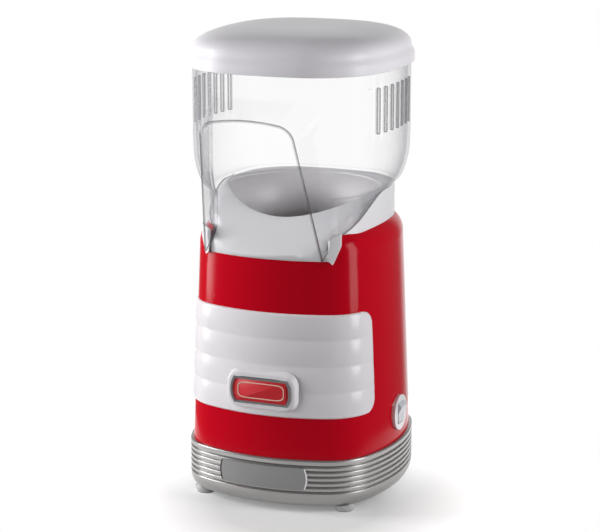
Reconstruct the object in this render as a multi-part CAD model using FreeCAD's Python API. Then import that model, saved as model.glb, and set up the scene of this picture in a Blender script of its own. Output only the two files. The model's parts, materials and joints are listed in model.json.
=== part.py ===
import FreeCAD, Part
import math
import os

V = FreeCAD.Vector
UP = V(0, 0, 1)
os.makedirs("parts", exist_ok=True)

# Outside of the housing (front is -Y, switch side is +X)
foot_height = 4.0
foot_radius = 7.0
foot_x = 48.0
foot_y = 49.0
base_half_x = 67.0
base_half_y = 68.0
base_bow_side = 120.0
base_bow_front = 115.0
base_corner = 31.5
base_height = 31.0
base_proud = 2.0
base_wall = 3.5
groove_count = 6
groove_pitch = 3.4
groove_depth = 1.1
groove_land = 4.0
body_height = 142.0
body_draft = 0.041
body_wall = 2.4
shoulder_height = 14.0
shoulder_reach = 7.0
plate_half_width = 30.0
plate_height = 14.5
plate_thick = 0.7

# White front panel and its badge
panel_rise = 26.3
panel_band = 16.7
panel_bands = 4
panel_edge = 0.9
panel_bulge = 2.3
panel_side_y = -28.8
panel_corner = 7.0
badge_rise = 17.0
bezel_width = 47.0
bezel_height = 24.0
bezel_proud = 3.2
badge_width = 41.0
badge_height = 17.0
badge_frame_width = 1.5
badge_depth = 2.0

# Clear hood and lid
hood_half_x = 65.0
hood_half_y = 68.0
hood_bow_side = 150.0
hood_bow_front = 200.0
hood_corner = 46.0
hood_wall = 2.0
hood_height = 84.0
hood_neck = 10.0
hood_bulge = 32.0
spout_half_top = 31.0
spout_half_foot = 40.5
spout_lip_z = 56.0
spout_reach = 26.0
spout_foot_in = 1.5
spout_root = 41.5
spout_root_y = -40.0
spout_rise = 17.0
spout_corner = 9.0
slot_count = 8
slot_pitch = 9.1
slot_width = 3.2
slot_height = 29.0
slot_drop = 14.0
slot_first_y = -38.0
lid_overlap = 5.0
lid_height = 24.0
lid_flange = 7.5
lid_flange_proud = 2.2
lid_wall = 2.2
lid_round = 12.0
tab_thick = 2.0

# Chute collar and popping chamber
collar_rise = 20.0
collar_skirt = 16.0
well_radius = 38.5
well_wall = 0.9
well_depth = 60.0
throat_drop = 32.0
deck_step = 1.0
deck_front = 12.5
funnel_width = 11.5
funnel_depth = 22.0
chute_half = 38.5
chute_lip_drop = 15.5
lip_thick = 2.2
lip_proud = 0.3
rim_flat_y = 4.0
flange_width = 6.0
flange_thick = 1.2
louver_count = 20

# Blower and heater
shroud_radius = 48.0
shroud_wall = 1.0
drum_height = 22.0
drum_wall = 1.5
drum_gap = 78.0
drum_outlet = 31.0
bracket_thick = 2.0
fan_radius = 41.0
fan_height = 13.0
fan_blades = 12
fan_hub = 6.0
motor_radius = 14.0
motor_height = 32.0
shaft_radius = 1.6
coil_radius = 27.0
coil_wire = 1.4
coil_turns = 3
coil_pitch = 3.6
coil_rise = 3.5

# Switch and inlet
switch_z = 17.5
switch_radius = 11.5
switch_bore = 10.0
switch_depth = 17.0
switch_proud = 2.0
rocker_radius = 7.4
rocker_width = 10.4
rocker_tilt = 10.0
gland_z = 16.0
gland_radius = 5.5
gland_flange = 8.0
gland_hole = 3.6

# Clearances
slip_gap = 0.2
lid_gap = 0.35
hood_gap = 0.4
rocker_gap = 0.4
shaft_gap = 0.05

# Levels derived from the lengths above
base_z = foot_height
seam_z = base_z + base_height
rim_z = seam_z + body_height
deck_z = rim_z + collar_rise
hood_z = deck_z
hood_top = hood_z + hood_height
lid_z = hood_top - lid_overlap
lid_top = lid_z + lid_height
flange_z = deck_z - throat_drop
floor_z = flange_z - well_depth
drum_top = flange_z - drum_gap
drum_z = drum_top - drum_height
panel_z = seam_z + panel_rise
panel_top = panel_z + panel_band * panel_bands
lip_z = rim_z - chute_lip_drop


def corner_centre(o):
    hx, hy, bx, by, rc = o
    p = (hx - bx, 0.0)
    q = (0.0, hy - by)
    r1 = bx - rc
    r2 = by - rc
    d = math.hypot(q[0] - p[0], q[1] - p[1])
    ex = ((q[0] - p[0]) / d, (q[1] - p[1]) / d)
    t = (d * d + r1 * r1 - r2 * r2) / (2 * d)
    h = math.sqrt(r1 * r1 - t * t)
    one = (p[0] + ex[0] * t - ex[1] * h, p[1] + ex[1] * t + ex[0] * h)
    two = (p[0] + ex[0] * t + ex[1] * h, p[1] + ex[1] * t - ex[0] * h)
    return max(one, two, key=sum)


def grown(o, d):
    return tuple(v + d for v in o)


def outline(o, z=0.0):
    """Rounded square of side arcs and corner arcs, all tangent."""
    hx, hy, bx, by, rc = o
    cx, cy = corner_centre(o)
    a1 = math.atan2(cy, cx - (hx - bx))
    a2 = math.atan2(cy - (hy - by), cx)
    am = (a1 + a2) / 2
    side = (hx - bx + bx * math.cos(a1), bx * math.sin(a1))
    bend = (cx + rc * math.cos(am), cy + rc * math.sin(am))
    back = (by * math.cos(a2), hy - by + by * math.sin(a2))

    def pt(p, sx, sy):
        return V(p[0] * sx, p[1] * sy, z)

    half = a1 / 2
    mid = (hx - bx + bx * math.cos(half), bx * math.sin(half))
    edges = [Part.Arc(V(hx, 0, z), pt(mid, 1, 1), pt(side, 1, 1)).toShape()]
    for sx, sy, turn in ((1, 1, 0), (-1, 1, 1), (-1, -1, 0), (1, -1, 1)):
        ends = (back, side) if turn else (side, back)
        edges.append(Part.Arc(pt(ends[0], sx, sy), pt(bend, sx, sy), pt(ends[1], sx, sy)).toShape())
        if (sx, sy) == (1, 1):
            edges.append(Part.Arc(pt(back, 1, 1), V(0, hy, z), pt(back, -1, 1)).toShape())
        elif (sx, sy) == (-1, 1):
            edges.append(Part.Arc(pt(side, -1, 1), V(-hx, 0, z), pt(side, -1, -1)).toShape())
        elif (sx, sy) == (-1, -1):
            edges.append(Part.Arc(pt(back, -1, -1), V(0, -hy, z), pt(back, 1, -1)).toShape())
    edges.append(Part.Arc(pt(side, 1, -1), pt(mid, 1, -1), V(hx, 0, z)).toShape())
    return Part.Wire(edges)


def prism(o, z0, z1):
    return Part.Face(outline(o, z0)).extrude(V(0, 0, z1 - z0))


def taper(o, d0, z0, d1, z1):
    return Part.makeLoft([outline(grown(o, d0), z0), outline(grown(o, d1), z1)], True, True)


def swept(o, edges):
    """Ring made by carrying a closed section, drawn at (half width, 0), round an outline."""
    ring = outline(o).makePipeShell([Part.Wire(edges)], True, True)
    if ring.Volume < 0:
        ring.reverse()
    return ring


def section(o, points):
    """Closed section from offsets and heights; a middle entry of three makes an arc."""
    hx = o[0]
    edges = []
    at = [V(hx + p[0], 0, p[1]) for p in points]
    for i, p in enumerate(at):
        q = at[(i + 1) % len(at)]
        bow = points[i][2:] if len(points[i]) > 2 else None
        if bow:
            edges.append(Part.Arc(p, V(hx + bow[0], 0, bow[1]), q).toShape())
        else:
            edges.append(Part.makeLine(p, q))
    return edges


def tube(r0, r1, z0, z1):
    ring = Part.makeCylinder(r1, z1 - z0, V(0, 0, z0))
    return ring.cut(Part.makeCylinder(r0, z1 - z0, V(0, 0, z0)))


def revolved(points):
    return Part.Face(Part.Wire(section((0.0,), points))).revolve(V(0, 0, 0), UP, 360)


def barrel(width, height, swell, y0, y1, z):
    """Upright plate with straight top and bottom and swelling ends, drawn facing the front."""
    x = width / 2 - swell
    h = height / 2
    pts = [V(-x, y0, z - h), V(x, y0, z - h), V(x, y0, z + h), V(-x, y0, z + h)]
    edges = [Part.makeLine(pts[0], pts[1]),
             Part.Arc(pts[1], V(width / 2, y0, z), pts[2]).toShape(),
             Part.makeLine(pts[2], pts[3]),
             Part.Arc(pts[3], V(-width / 2, y0, z), pts[0]).toShape()]
    return Part.Face(Part.Wire(edges)).extrude(V(0, y1 - y0, 0))


def long_hole(y, z0, z1, r):
    pts = [V(-100, y - r, z0 + r), V(-100, y + r, z0 + r), V(-100, y + r, z1 - r), V(-100, y - r, z1 - r)]
    edges = [Part.Arc(pts[0], V(-100, y, z0), pts[1]).toShape(), Part.makeLine(pts[1], pts[2]),
             Part.Arc(pts[2], V(-100, y, z1), pts[3]).toShape(), Part.makeLine(pts[3], pts[0])]
    return Part.Face(Part.Wire(edges)).extrude(V(200, 0, 0))


def turned(shape, angle):
    return shape.rotated(V(0, 0, 0), UP, angle)


base = (base_half_x, base_half_y, base_bow_side, base_bow_front, base_corner)
hood = (hood_half_x, hood_half_y, hood_bow_side, hood_bow_front, hood_corner)
neck = grown(hood, -hood_neck)
shoulder_z = rim_z - shoulder_height


def draft(z):
    return -body_draft * (z - seam_z)


def body_solid():
    return taper(base, 0, seam_z, draft(shoulder_z), shoulder_z)


def below_rim(gap):
    """Space under the edge where the hood stands: flat behind, falling to the lip in front."""
    top = deck_z + gap
    low = deck_z - 120.0
    y0 = 90.0
    pts = [V(0, rim_flat_y, top), V(0, rim_flat_y - 20, top - 5.0), V(0, rim_flat_y - 39, top - 15.5),
           V(0, rim_flat_y - 54, top - 25.0), V(0, rim_flat_y - 72, top - 35.0)]
    fall = Part.BSplineCurve()
    fall.interpolate(pts, InitialTangent=V(0, -1, 0), FinalTangent=V(0, -1, -0.45))
    end = V(0, -120, pts[-1].z)
    stand = V(0, rim_flat_y + 8, deck_z)
    step = V(0, rim_flat_y + 8, top)
    loop = [V(0, y0, deck_z), stand, step, pts[0]] if gap else [V(0, y0, deck_z), pts[0]]
    edges = [Part.makeLine(a, b) for a, b in zip(loop, loop[1:])]
    close = [pts[-1], end, V(0, -120, low), V(0, y0, low), loop[0]]
    edges += [fall.toShape()] + [Part.makeLine(a, b) for a, b in zip(close, close[1:])]
    face = Part.Face(Part.Wire(edges)).translated(V(-100, 0, 0))
    return face.extrude(V(200, 0, 0))


def boss_spots():
    return [(sx * 40.0, sy * 38.0) for sx in (-1, 1) for sy in (-1, 1)]


def body_shell():
    s = shoulder_z
    d = draft(s)
    w = body_wall
    r = shoulder_reach
    h = shoulder_height
    points = [(0, seam_z), (d, s, d - 0.27 * r, s + 0.61 * h), (d - r, rim_z),
              (d - r - 9, rim_z), (d - r - 9, rim_z - w), (d - r, rim_z - w, d - w - 0.27 * r, s + 0.5 * h),
              (d - w, s - 1.0), (-w, seam_z)]
    shell = swept(base, section(base, points))
    shell = shell.cut(prism(grown(neck, slip_gap), rim_z - h, rim_z + 5))
    shell = shell.cut(front_block(spout_half_foot + 2 * hood_gap, lip_z))
    posts = []
    for x, y in boss_spots():
        posts.append(Part.makeCylinder(4.0, 50, V(x, y, base_z + 2.2)))
        web = Part.makeBox(24, 2.0, 14, V(4.0 - 1.0, -1.0, 0))
        web.rotate(V(0, 0, 0), UP, math.degrees(math.atan2(y, x)))
        posts.append(web.translated(V(x, y, base_z + 36.0)))
    posts = [p.common(taper(base, -0.6, base_z, draft(rim_z) - 0.6, rim_z)) for p in posts]
    shell = shell.fuse(posts)
    for x, y in boss_spots():
        shell = shell.cut(Part.makeCylinder(1.5, 14, V(x, y, base_z + 2.2)))
    z = seam_z + switch_z
    shell = shell.cut(Part.makeCylinder(switch_bore + 0.1, 40, V(40, 0, z), V(1, 0, 0)))
    shell = shell.cut(Part.makeCylinder(gland_radius + 0.1, 40, V(0, 40, seam_z + gland_z), V(0, 1, 0)))
    return shell.removeSplitter()


def front_panel():
    points = [(draft(panel_z), panel_z)]
    for i in range(panel_bands):
        z0 = panel_z + i * panel_band
        zm = z0 + panel_band / 2
        points.append((draft(z0) + panel_edge, z0, draft(zm) + panel_bulge, zm))
    points.append((draft(panel_top) + panel_edge, panel_top))
    points.append((draft(panel_top), panel_top))
    ring = swept(base, section(base, points))
    block = Part.makeBox(200, 100, panel_top - panel_z, V(-100, panel_side_y - 100, panel_z))
    ends = [e for e in block.Edges if abs(e.CenterOfMass.y - panel_side_y) < 0.01 and e.Length > 150]
    wrap = ring.common(block.makeFillet(panel_corner, ends))
    z = panel_z + badge_rise
    front = badge_front()
    bezel = barrel(bezel_width, bezel_height, 3.0, -50, front, z).cut(body_solid())
    fit = 2 * slip_gap
    pocket = barrel(badge_width + fit, badge_height + fit, 2.5, front - 1, front + badge_depth, z)
    return wrap.fuse(bezel).cut(pocket).removeSplitter()


def badge_front():
    return -(base_half_y + draft(panel_z + badge_rise) + bezel_proud + 1.2)


def badge_frame():
    z = panel_z + badge_rise
    front = badge_front() - 0.6
    back = badge_front() + badge_depth
    w = badge_frame_width
    outer = barrel(badge_width, badge_height, 2.5, front, back, z)
    return outer.cut(barrel(badge_width - 2 * w, badge_height - 2 * w, 2.0, front - 1, back + 1, z))


def badge_plate():
    z = panel_z + badge_rise
    w = badge_frame_width
    front = badge_front() - 0.1
    return barrel(badge_width - 2 * w, badge_height - 2 * w, 2.0, front, badge_front() + badge_depth, z)


def base_ring():
    p = base_proud
    top = seam_z
    points = [(p - base_wall, top), (p - 0.9, top), (p, top - 0.9)]
    z = top - groove_land
    for i in range(groove_count):
        zi = z - i * groove_pitch
        points += [(p, zi + 0.8), (p - groove_depth, zi + 0.2), (p - groove_depth, zi - 0.2), (p, zi - 0.8)]
    low = base_z
    skirt = z - groove_count * groove_pitch + 1.4
    points += [(p, skirt, p - 1.2, low + 0.3 * (skirt - low)), (p - 5.2, low)]
    points += [(p - 7.7, low), (p - 7.7, low + 2.4), (p - base_wall, low + 6.6)]
    ring = swept(base, section(base, points))
    return ring.cut(prism(grown(base, p - 7.5), base_z - 1, base_z + 2.4))


def base_plate():
    p = base_proud
    zc = seam_z - groove_land - 2.4 * groove_pitch
    h = plate_height / 2
    q = p + plate_thick
    band = swept(base, section(base, [(p, zc - h), (q, zc - h), (q, zc + h), (p, zc + h)]))
    return band.common(barrel(2 * plate_half_width, plate_height + 2, 2.5, -100, -40, zc))


def bottom_plate():
    plate = prism(grown(base, base_proud - 7.7), base_z, base_z + 2.2)
    slots = []
    for i in range(16):
        slot = Part.makeBox(20, 3.2, 10, V(12, -1.6, base_z - 4))
        slots.append(turned(slot, i * 22.5 + 11.25))
    plate = plate.cut(slots)
    holes = [Part.makeCylinder(1.8, 10, V(x, y, base_z - 4)) for x, y in boss_spots()]
    sinks = [Part.makeCylinder(3.6, 1.2, V(x, y, base_z)) for x, y in boss_spots()]
    return plate.cut(holes + sinks)


def bottom_screws():
    screws = []
    for x, y in boss_spots():
        head = Part.makeCylinder(3.2, 1.2, V(x, y, base_z))
        shank = Part.makeCylinder(1.5, 11, V(x, y, base_z + 1.2))
        slot = Part.makeBox(7, 0.9, 0.6, V(x - 3.5, y - 0.45, base_z))
        screws.append(head.fuse(shank).cut(slot))
    return Part.makeCompound(screws)


def feet():
    pads = []
    for sx in (-1, 1):
        for sy in (-1, 1):
            pad = Part.makeCone(foot_radius - 1.2, foot_radius, foot_height, V(sx * foot_x, sy * foot_y, 0))
            pads.append(pad)
    return Part.makeCompound(pads)


def below_deck():
    """Space under the deck inside the hood: level behind the well, falling to the front lip."""
    r = well_radius
    lip_y = -base_half_y - draft(lip_z)
    top = deck_z + deck_step
    pts = [V(0, rim_flat_y, top), V(0, -r / 2, deck_z - deck_front / 3), V(0, -r, deck_z - deck_front),
           V(0, lip_y, lip_z + lip_thick)]
    fall = Part.BSplineCurve()
    fall.interpolate(pts, InitialTangent=V(0, -1, 0), FinalTangent=V(0, -1, -0.9))
    low = lip_z - 20
    loop = [pts[-1], V(0, lip_y - 10, pts[-1].z), V(0, lip_y - 10, low), V(0, base_half_y, low),
            V(0, base_half_y, top), pts[0]]
    edges = [fall.toShape()] + [Part.makeLine(a, b) for a, b in zip(loop, loop[1:])]
    return Part.Face(Part.Wire(edges)).translated(V(-base_half_x, 0, 0)).extrude(V(2 * base_half_x, 0, 0))


def front_block(half, z):
    return Part.makeBox(2 * half, base_half_y, 60, V(-half, -1.5 * base_half_y, z))


def screw_spots():
    return [turned(Part.Vertex(0, well_radius + 6.6, 0), 120 * i).Point for i in range(3)]


def chute_collar():
    skirt = rim_z - collar_skirt
    r = well_radius
    front = prism(grown(base, draft(lip_z) + lip_proud), lip_z, deck_z)
    sill = front.common(front_block(chute_half + 1.5, lip_z))
    seat = prism(neck, skirt, deck_z + 2).fuse(sill).common(below_rim(0))
    ramp = front.common(spout_solid(hood_wall + hood_gap))
    deck = prism(grown(neck, -hood_wall - hood_gap), skirt, deck_z + 2).fuse(ramp).common(below_deck())
    z0 = deck_z - funnel_depth
    w = funnel_width
    funnel = revolved([(0, skirt - 5), (r, skirt - 5), (r, z0, r + 0.28 * w, z0 + 0.6 * funnel_depth),
                       (r + w, deck_z - 0.5), (r + w, deck_z + 20), (0, deck_z + 20)])
    below = Part.makeCylinder(shroud_radius + 1.5, flange_z - skirt, V(0, 0, skirt))
    taps = [Part.makeCylinder(1.2, 9, p + V(0, 0, flange_z)) for p in screw_spots()]
    return seat.fuse(deck).cut(funnel).cut(below).cut(taps).removeSplitter()


def popping_chamber():
    r = well_radius
    t = well_wall
    fz = floor_z
    top = flange_z
    f = flange_thick
    points = [(0, fz + 9), (16, fz + 3), (26, fz), (r, fz), (r, top), (r + flange_width + 4, top),
              (r + flange_width + 4, top - f), (r + t, top - f), (r + t, fz - t), (26, fz - t),
              (15.8, fz + 3 - t), (0, fz + 9 - t)]
    cup = revolved(points)
    louvers = []
    for i in range(louver_count):
        slit = Part.makeBox(6, 1.6, 9, V(r - 2, -0.8, fz + 3))
        slit.rotate(V(r, 0, fz + 7.5), V(1, 0, 0), 24)
        louvers.append(turned(slit, i * 360.0 / louver_count))
    holes = [Part.makeCylinder(1.3, 10, V(0, r + 6.6, top - 5))]
    holes += [turned(holes[0], 120), turned(holes[0], 240)]
    return cup.cut(louvers + holes)


def heater_shroud():
    R = shroud_radius
    w = shroud_wall
    top = flange_z - flange_thick
    inner = well_radius + well_wall + 0.3
    wall = revolved([(R - w, drum_top), (R, drum_top), (R, top), (inner, top), (inner, top - w),
                     (R - w, top - w)])
    hole = Part.makeCylinder(1.3, 10, V(0, well_radius + 6.6, top - 5))
    return wall.cut([turned(hole, 120 * i) for i in range(3)])


def stack_screws():
    top = flange_z - flange_thick - shroud_wall
    screws = []
    for i in range(3):
        head = Part.makeCylinder(1.7, 1.8, V(0, well_radius + 6.6, top - 1.8))
        shank = Part.makeCylinder(1.2, 10.4, V(0, well_radius + 6.6, top))
        screws.append(turned(head.fuse(shank), 120 * i))
    return Part.makeCompound(screws)


def fan_drum():
    R = shroud_radius
    w = drum_wall
    return revolved([(drum_outlet, drum_top - w), (drum_outlet, drum_top), (R, drum_top), (R, drum_z),
                     (R - w, drum_z), (R - w, drum_top - w)])


def motor_bracket():
    R = shroud_radius
    t = bracket_thick
    disc = tube(motor_radius - 6.0, R, drum_z - t, drum_z)
    ports = []
    for i in range(3):
        port = tube(20, R - 9, drum_z - t - 1, drum_z + 1)
        keep = Part.makeBox(60, 60, t + 2, V(0, 0, drum_z - t - 1))
        wedge = keep.common(turned(Part.makeBox(60, 60, t + 2, V(0, -60, drum_z - t - 1)), 80))
        ports.append(turned(port.common(wedge), 120 * i))
    holes = [Part.makeCylinder(1.3, 10, V(10.5 * s, 0, drum_z - 5)) for s in (-1, 1)]
    return disc.cut(ports + holes)


def motor_can():
    top = drum_z - bracket_thick
    can = Part.makeCylinder(motor_radius, motor_height, V(0, 0, top - motor_height))
    can = can.makeFillet(1.5, [e for e in can.Edges if e.BoundBox.ZLength < 0.1])
    collar = Part.makeCylinder(4.5, bracket_thick, V(0, 0, top))
    bore = Part.makeCylinder(shaft_radius + shaft_gap, motor_height + 10, V(0, 0, top - 24))
    taps = [Part.makeCylinder(1.1, 6, V(10.5 * s, 0, top - 6)) for s in (-1, 1)]
    return can.fuse(collar).cut([bore] + taps)


def motor_screws():
    screws = []
    for s in (-1, 1):
        head = Part.makeCylinder(2.2, 1.6, V(10.5 * s, 0, drum_z))
        shank = Part.makeCylinder(1.1, bracket_thick + 4.5, V(10.5 * s, 0, drum_z - bracket_thick - 4.5))
        screws.append(head.fuse(shank))
    return Part.makeCompound(screws)


def motor_cap():
    low = drum_z - bracket_thick - motor_height
    cap = Part.makeCylinder(motor_radius - 2, 3.0, V(0, 0, low - 3.0))
    for s in (-1, 1):
        cap = cap.fuse(Part.makeBox(0.8, 3, 5, V(s * 7 - 0.4, -1.5, low - 8)))
    return cap


def motor_shaft():
    return Part.makeCylinder(shaft_radius, drum_height + 20, V(0, 0, drum_z - bracket_thick - 20))


def fan_impeller():
    z = drum_z + 4.5
    disc = Part.makeCylinder(fan_radius, 1.4, V(0, 0, z))
    hub = Part.makeCylinder(fan_hub, fan_height, V(0, 0, z))
    blades = []
    for i in range(fan_blades):
        blade = Part.makeBox(fan_radius - 13, 1.4, fan_height, V(12, -0.7, z))
        blade.rotate(V(12, 0, z), UP, 24)
        blades.append(turned(blade, i * 360.0 / fan_blades))
    limit = Part.makeCylinder(fan_radius, fan_height, V(0, 0, z))
    wheel = disc.multiFuse([hub] + blades).common(limit)
    return wheel.cut(Part.makeCylinder(shaft_radius, fan_height, V(0, 0, z)))


def shaft_nut():
    z = drum_z + 4.5 + fan_height
    pts = [V(4.2 * math.cos(math.radians(60 * i)), 4.2 * math.sin(math.radians(60 * i)), z) for i in range(7)]
    nut = Part.Face(Part.makePolygon(pts)).extrude(V(0, 0, 3.2))
    return nut.cut(Part.makeCylinder(shaft_radius, 4, V(0, 0, z)))


def mica_frame():
    z = drum_top
    rise = floor_z - drum_top - 6.0
    R = shroud_radius - shroud_wall
    cards = []
    for i in range(2):
        card = Part.makeBox(2 * R - 1, 1.0, rise, V(-R + 0.5, -0.5, z))
        cards.append(turned(card, 45 + 90 * i))
    frame = cards[0].fuse(cards[1])
    groove = coil_path_solid(coil_wire + 0.25)
    return frame.cut(groove)


def coil_path_solid(radius):
    z = drum_top + coil_rise
    helix = Part.makeHelix(coil_pitch, coil_pitch * coil_turns, coil_radius)
    ring = Part.Wire(Part.makeCircle(radius, V(coil_radius, 0, 0), V(0, 1, 0)))
    return Part.Wire(helix.Edges).makePipeShell([ring], True, True).translated(V(0, 0, z))


def heating_coil():
    return coil_path_solid(coil_wire)


def thermostat():
    R = shroud_radius
    z = drum_top + 24.0
    disc = Part.makeCylinder(8, 5, V(R - 0.4, 0, z), V(1, 0, 0))
    cup = Part.makeCylinder(6.5, 3, V(R + 4.6, 0, z), V(1, 0, 0))
    body = disc.fuse(cup).cut(Part.makeCylinder(R, 60, V(0, 0, z - 30)))
    for s in (-1, 1):
        body = body.fuse(Part.makeBox(1.5, 4, 0.8, V(R + 7.0, -2, z + s * 4 - 0.4)))
    return turned(body, 90)


def thermal_fuse():
    R = shroud_radius
    fuse = Part.makeCylinder(2.0, 12, V(R + 1.9, -6, drum_top + 24), V(0, 1, 0))
    return turned(fuse.cut(Part.makeCylinder(R, 60, V(0, 0, drum_top))), 140)


def rectifier_board():
    low = drum_z - bracket_thick - motor_height - 8.0
    board = Part.makeBox(30, 22, 1.6, V(-15, -11, low - 1.6))
    for i in range(4):
        diode = Part.makeCylinder(1.5, 5, V(-10.5 + 7 * i, 5.0, low + 1.3), V(0, 1, 0))
        board = board.fuse(diode)
    return board


def switch_x():
    return base_half_x + draft(seam_z + switch_z)


def switch_body():
    x = switch_x()
    z = seam_z + switch_z
    ax = V(1, 0, 0)
    flange = Part.makeCylinder(switch_radius, 6, V(x + switch_proud - 6, 0, z), ax).cut(body_solid())
    core = Part.makeCylinder(switch_bore - 0.1, switch_depth + switch_proud, V(x - switch_depth, 0, z), ax)
    pivot = V(x - 1.5, -rocker_width / 2 - rocker_gap, z)
    well = Part.makeCylinder(rocker_radius + rocker_gap, rocker_width + 2 * rocker_gap, pivot, V(0, 1, 0))
    return flange.fuse(core).cut(well).removeSplitter()


def rocker():
    x = switch_x()
    z = seam_z + switch_z
    px = x - 1.5
    drum = Part.makeCylinder(rocker_radius, rocker_width, V(px, -rocker_width / 2, z), V(0, 1, 0))
    dip = 3.6
    edge = [V(px + dip, -50, z), V(px + dip + 3.1, -50, z + 12), V(px + 30, -50, z + 12),
            V(px + 30, -50, z - 12), V(px + dip + 3.1, -50, z - 12)]
    face = Part.makePolygon(edge + [edge[0]])
    cut = Part.Face(face).extrude(V(0, 100, 0))
    back = Part.makeBox(30, 100, 60, V(px - 30 - 3.0, -50, z - 30))
    shape = drum.cut(cut).cut(back)
    shape.rotate(V(px, 0, z), V(0, 1, 0), rocker_tilt)
    return shape


def switch_terminals():
    x = switch_x() - switch_depth
    z = seam_z + switch_z
    blades = [Part.makeBox(8, 4.8, 0.8, V(x - 8, -2.4, z + s * 4.5 - 0.4)) for s in (-1, 1)]
    return Part.makeCompound(blades)


def cord_gland():
    y = base_half_y + draft(seam_z + gland_z)
    z = seam_z + gland_z
    ay = V(0, 1, 0)
    outer = Part.makeCylinder(gland_flange, 5, V(0, y + 1.6 - 5, z), ay).cut(body_solid())
    stem = Part.makeCylinder(gland_radius, 10, V(0, y - 8, z), ay)
    nut = Part.makeCylinder(gland_flange, 4, V(0, y - 8, z), ay)
    nut = nut.common(taper(base, -body_wall, seam_z, draft(shoulder_z) - body_wall, shoulder_z))
    gland = outer.multiFuse([stem, nut])
    return gland.cut(Part.makeCylinder(gland_hole, 30, V(0, y - 15, z), ay)).removeSplitter()


def hood_solid(inset):
    z0 = hood_z - 45.0
    lo = hood_z + 2.0
    n = hood_neck
    b = hood_bulge
    wires = [outline(grown(hood, -n - inset), lo)]
    for k in (20, 40, 60, 80, 100):
        a = math.radians(90 * k / 100.0)
        wires.append(outline(grown(hood, -n * (1 - math.sin(a)) - inset), lo + b * (1 - math.cos(a))))
    bulge = Part.makeLoft(wires, True, False)
    foot = prism(grown(hood, -n - inset), z0, lo)
    upper = prism(grown(hood, -inset), lo + b, hood_top + (5 if inset else 0))
    return foot.multiFuse([bulge, upper])


def spout_solid(inset):
    top = hood_z + spout_lip_z
    lip_y = -hood_half_y - spout_reach
    lean = (lip_y + base_half_y - spout_foot_in) / (spout_lip_z + 30.0)

    def arch(half_top, half_foot, crown, corner, foot, plane):
        z1 = crown - corner - 3.0
        ends = [V(-half_foot, plane(foot), foot), V(half_foot, plane(foot), foot),
                V(half_top, plane(z1), z1), V(half_top - corner, plane(crown - 2.0), crown - 2.0)]
        k = corner * 0.3
        bend = V(half_top - k, plane(z1 + corner * 0.72), z1 + corner * 0.72)

        def flip(p):
            return V(-p.x, p.y, p.z)

        return Part.Wire([Part.makeLine(ends[0], ends[1]), Part.makeLine(ends[1], ends[2]),
                          Part.Arc(ends[2], bend, ends[3]).toShape(),
                          Part.Arc(ends[3], V(0, plane(crown), crown), flip(ends[3])).toShape(),
                          Part.Arc(flip(ends[3]), flip(bend), flip(ends[2])).toShape(),
                          Part.makeLine(flip(ends[2]), ends[0])])

    foot = hood_z - 40.0 - inset

    def front(z):
        return lip_y + lean * (z - top)

    def rear(z):
        return spout_root_y

    side = spout_root - inset
    nose = arch(spout_half_top - inset, spout_half_foot - inset, top - inset, spout_corner - inset * 0.5,
                foot, front)
    root = arch(side, side, top + spout_rise + 8 - inset, spout_corner, foot, rear)
    return Part.makeLoft([root, nose], True, True)


def hood_shell():
    outer = hood_solid(0).fuse(spout_solid(0))
    shell = outer.cut(hood_solid(hood_wall)).cut(spout_solid(hood_wall))
    shell = shell.cut(below_rim(hood_gap))
    zt = hood_top - slot_drop
    for i in range(slot_count):
        shell = shell.cut(long_hole(slot_first_y + i * slot_pitch, zt - slot_height, zt, slot_width / 2))
    return shell


def hood_tabs():
    z0 = rim_z - 17.0
    z1 = rim_z + 2.0
    gap = lip_proud + hood_gap
    ring = taper(base, draft(z0) + gap + tab_thick, z0, draft(z1) + gap + tab_thick, z1)
    ring = ring.cut(taper(base, draft(z0) + gap, z0, draft(z1) + gap, z1)).cut(spout_solid(0))
    tabs = []
    for s in (-1, 1):
        pts = [V(s * 36.5, -100, z0 + 6), V(s * 42.5, -100, z0), V(s * 46.5, -100, z0 + 11),
               V(s * 46.5, -100, z1), V(s * 40.5, -100, z1 - 3)]
        card = Part.Face(Part.makePolygon(pts + [pts[0]])).extrude(V(0, 80, 0))
        tabs.append(ring.common(card))
    return Part.makeCompound(tabs)


def lid():
    o = grown(hood, lid_flange_proud)
    rim = prism(o, lid_z, lid_z + lid_flange)
    rim = rim.makeFillet(1.2, [e for e in rim.Edges if abs(e.CenterOfMass.z - lid_z - lid_flange) < 0.01])
    dome = prism(hood, lid_z + lid_flange - 1, lid_top)
    dome = dome.makeFillet(lid_round, [e for e in dome.Edges if abs(e.CenterOfMass.z - lid_top) < 0.01])
    inner = prism(grown(hood, -hood_wall - 0.4), lid_z - 1, lid_top - lid_wall)
    top = [e for e in inner.Edges if abs(e.CenterOfMass.z - lid_top + lid_wall) < 0.01]
    inner = inner.makeFillet(lid_round - lid_wall, top)
    pocket = prism(grown(hood, lid_gap), lid_z - 1, hood_top)
    return rim.fuse(dome).cut(inner).cut(pocket).removeSplitter()


makers = [body_shell, front_panel, badge_frame, badge_plate, base_ring, base_plate, bottom_plate,
          bottom_screws, feet, chute_collar, popping_chamber, heater_shroud, stack_screws, fan_drum,
          motor_bracket, motor_can, motor_screws, motor_cap, motor_shaft, fan_impeller, shaft_nut,
          mica_frame, heating_coil, thermostat, thermal_fuse, rectifier_board, switch_body, rocker,
          switch_terminals, cord_gland, hood_shell, hood_tabs, lid]

for maker in makers:
    shape = maker()
    shape.exportStep("parts/" + maker.__name__ + ".step")
    print(maker.__name__, shape.isValid(), len(shape.Solids), round(shape.Volume))
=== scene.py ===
import bmesh
import bpy
import json
import math
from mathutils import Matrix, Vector
from mathutils.bvhtree import BVHTree


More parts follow.
